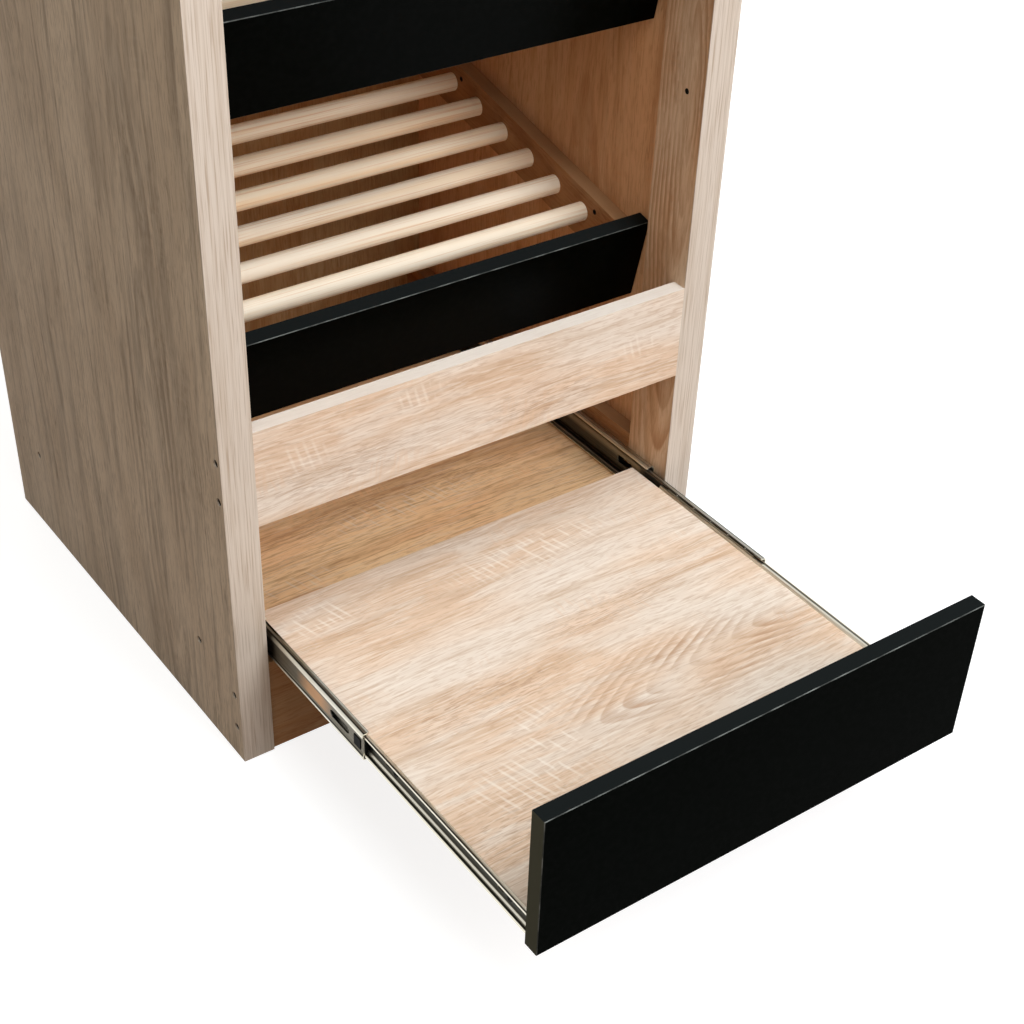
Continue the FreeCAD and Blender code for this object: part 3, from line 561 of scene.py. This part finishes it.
for side in ("left", "right"):
    for part in ("cabinet", "middle", "tray"):
        name = side + "_" + part + "_member"
        low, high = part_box(name)
        openAt, webAt = (high.x, low.x) if side == "left" else (low.x, high.x)
        if part == "tray":  # only this channel opens towards the wall
            openAt, webAt = webAt, openAt
        seamFrom = openAt if part == "tray" else webAt
        channel = {"part": part, "open": openAt, "web": webAt, "middle": middleOf(name).z,
                   "half": (high.z - low.z) / 2, "glow": low.y + slideMarks["glow"],
                   "seam": seamFrom + math.copysign(1.0, openAt - webAt) * slideMarks["seam"][part],
                   "leftPaintedMarks": slideMarks["leftPaintedMarks"][side]}
        dress(drawnSteel("zincSheet." + name, zinc, channel), name)
for name, finish, ending in (("zincSheet.cage", zinc, "_cage"), ("polishedBall", polished, "_balls"),
                             ("blackOxideScrew", blackOxide, "_screws")):
    dress(drawnSteel(name, finish), *[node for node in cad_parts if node.endswith(ending)])

# moulded black plastic: satin, with a faint grain in mm, drawn coarser than the real 0.2 mm so that it shows
buffer = {"dark": "#080808", "light": "#101010", "grainSize": 1.1111, "detail": 2, "rough": 0.45, "ior": 1.1,
          "bump": 0.2, "bumpDepth": 0.0002}
plastic, plasticTree = newMaterial("mouldedPlastic")
grain = addNode(plasticTree, "TexNoise", {"Vector": addNode(plasticTree, "TexCoord").outputs["Object"],
                                          "Scale": 1000 / buffer["grainSize"], "Detail": buffer["detail"]})
colour = addNode(plasticTree, "Mix", {0: grain.outputs[0], 6: linear(buffer["dark"]),
                                      7: linear(buffer["light"])}, data_type="RGBA")
bump = addNode(plasticTree, "Bump", {"Height": grain.outputs[0], "Strength": buffer["bump"],
                                     "Distance": buffer["bumpDepth"]})
shader = addNode(plasticTree, "BsdfPrincipled", {"Base Color": colour.outputs[2], "Roughness": buffer["rough"],
                                                 "Normal": bump.outputs[0], "IOR": buffer["ior"]})
addNode(plasticTree, "OutputMaterial", {"Surface": shader.outputs[0]})
dress(plastic, "left_stop_buffer", "right_stop_buffer")
print("slides and fasteners dressed")

# studio: four soft lamps, azimuth 0 at the front and 90 on the right, and an even fill from all round
lamps = {
    "frontLamp": {"power": 116.0, "tint": "#F6FAFF", "wide": 1.1, "tall": 4.6, "away": 3.2, "azimuth": 12.5,
                  "elevation": 36.0},
    "topLamp": {"power": 120.0, "tint": "#F0FAFF", "wide": 3.0, "tall": 3.0, "away": 4.2, "azimuth": 10.0,
                "elevation": 74.0},
    "sideLamp": {"power": 8.0, "tint": "#FFF4E4", "wide": 1.2, "tall": 1.2, "away": 2.2, "azimuth": -65.0,
                 "elevation": 30.0},
    "backLamp": {"power": 50.0, "tint": "#FFFAF2", "wide": 2.0, "tall": 2.0, "away": 3.8, "azimuth": 178.0,
                 "elevation": 14.0},
}
lampTarget = Vector((0, 0.05, 0.4))
for name, plan in lamps.items():
    turn, rise = math.radians(plan["azimuth"]), math.radians(plan["elevation"])
    source = Vector((math.sin(turn) * math.cos(rise), -math.cos(turn) * math.cos(rise), math.sin(rise)))
    lamp = bpy.data.lights.new(name, "AREA")
    lamp.shape = "RECTANGLE"
    lamp.size, lamp.size_y = plan["wide"], plan["tall"]
    lamp.energy = plan["power"]
    lamp.color = linear(plan["tint"])[:3]
    lampObject = bpy.data.objects.new(name, lamp)
    lampObject.location = lampTarget + source * plan["away"]
    lampObject.rotation_euler = (-source).to_track_quat("-Z", "Y").to_euler()
    lampObject.visible_camera = False
    scene.collection.objects.link(lampObject)


# 1 where the studio itself is seen, straight, mirrored or through something clear
def seenShare(tree):
    rays = addNode(tree, "LightPath")
    seen = rays.outputs["Is Camera Ray"]
    for ray in ("Is Glossy Ray", "Is Transmission Ray"):
        seen = addNode(tree, "Math", {0: seen, 1: rays.outputs[ray]}, operation="MAXIMUM").outputs[0]
    return seen


white = linear("#FFFFFF")
sky = {"fill": 0.168, "tint": "#FFECD4"}
world = bpy.data.worlds.new("studioWorld")
scene.world = world
world.use_nodes = True
worldTree = world.node_tree
worldTree.nodes.clear()
fill = addNode(worldTree, "Background", {"Color": linear(sky["tint"]), "Strength": sky["fill"]})
backdrop = addNode(worldTree, "Background", {"Color": white, "Strength": 1.0})
around = addNode(worldTree, "MixShader", {0: seenShare(worldTree), 1: fill.outputs[0], 2: backdrop.outputs[0]})
addNode(worldTree, "OutputWorld", {"Surface": around.outputs[0]})

# pale floor: seen as white that keeps the unit's shadow, whiter from near to far, and returns a warm light
ground = {"tone": "#7C604B", "size": 14.0, "drop": 0.0003, "glow": 0.80, "shade": 0.40, "near": 1.0, "far": 2.6}
half, under = ground["size"] / 2, -ground["drop"]
floorMesh = bpy.data.meshes.new("floor")
floorMesh.from_pydata([(-half, -half, under), (half, -half, under), (half, half, under), (-half, half, under)],
                      [], [(0, 1, 2, 3)])
floor = bpy.data.objects.new("floor", floorMesh)
scene.collection.objects.link(floor)
paleFloor, floorTree = newMaterial("paleFloor")
fromMiddle = addNode(floorTree, "VectorMath", {0: addNode(floorTree, "TexCoord").outputs["Object"]},
                     operation="LENGTH")
whiter = addNode(floorTree, "MapRange", {"Value": fromMiddle.outputs["Value"], "From Min": ground["near"],
                                         "From Max": ground["far"], "To Min": ground["glow"], "To Max": 1.0},
                 interpolation_type="SMOOTHSTEP")
glow = addNode(floorTree, "Emission", {"Color": white, "Strength": whiter.outputs[0]})
shade = addNode(floorTree, "BsdfDiffuse", {"Color": (ground["shade"],) * 3 + (1,)})
shown = addNode(floorTree, "AddShader", {0: glow.outputs[0], 1: shade.outputs[0]})
returned = addNode(floorTree, "BsdfDiffuse", {"Color": linear(ground["tone"])})
surface = addNode(floorTree, "MixShader", {0: seenShare(floorTree), 1: returned.outputs[0],
                                           2: shown.outputs[0]})
addNode(floorTree, "OutputMaterial", {"Surface": surface.outputs[0]})
floorMesh.materials.append(paleFloor)
print("studio set")

# camera: its place, turn and lens repeat the photograph's view of the unit
view = {"place": (-0.9091, -1.2994, 1.3615), "azimuth": 38.081, "elevation": 39.137, "roll": -3.251,
        "lens": 63.32, "sensor": 36.0, "shift": (-0.0338, 0.0975)}
azimuth, elevation = math.radians(view["azimuth"]), math.radians(view["elevation"])
forward = Vector((math.sin(azimuth) * math.cos(elevation), math.cos(azimuth) * math.cos(elevation),
                  -math.sin(elevation)))
right = Vector((math.cos(azimuth), -math.sin(azimuth), 0))
upright = Matrix((right, right.cross(forward), -forward)).transposed()
leant = upright @ Matrix.Rotation(math.radians(-view["roll"]), 3, "Z")
camera = bpy.data.cameras.new("photoCamera")
camera.lens = view["lens"]
camera.sensor_width = view["sensor"]
camera.shift_x, camera.shift_y = view["shift"]
cameraObject = bpy.data.objects.new("photoCamera", camera)
cameraObject.matrix_world = Matrix.Translation(view["place"]) @ leant.to_4x4()
scene.collection.objects.link(cameraObject)
scene.camera = cameraObject
scene.view_settings.view_transform = "Standard"
print("camera set")

bpy.context.view_layer.update()
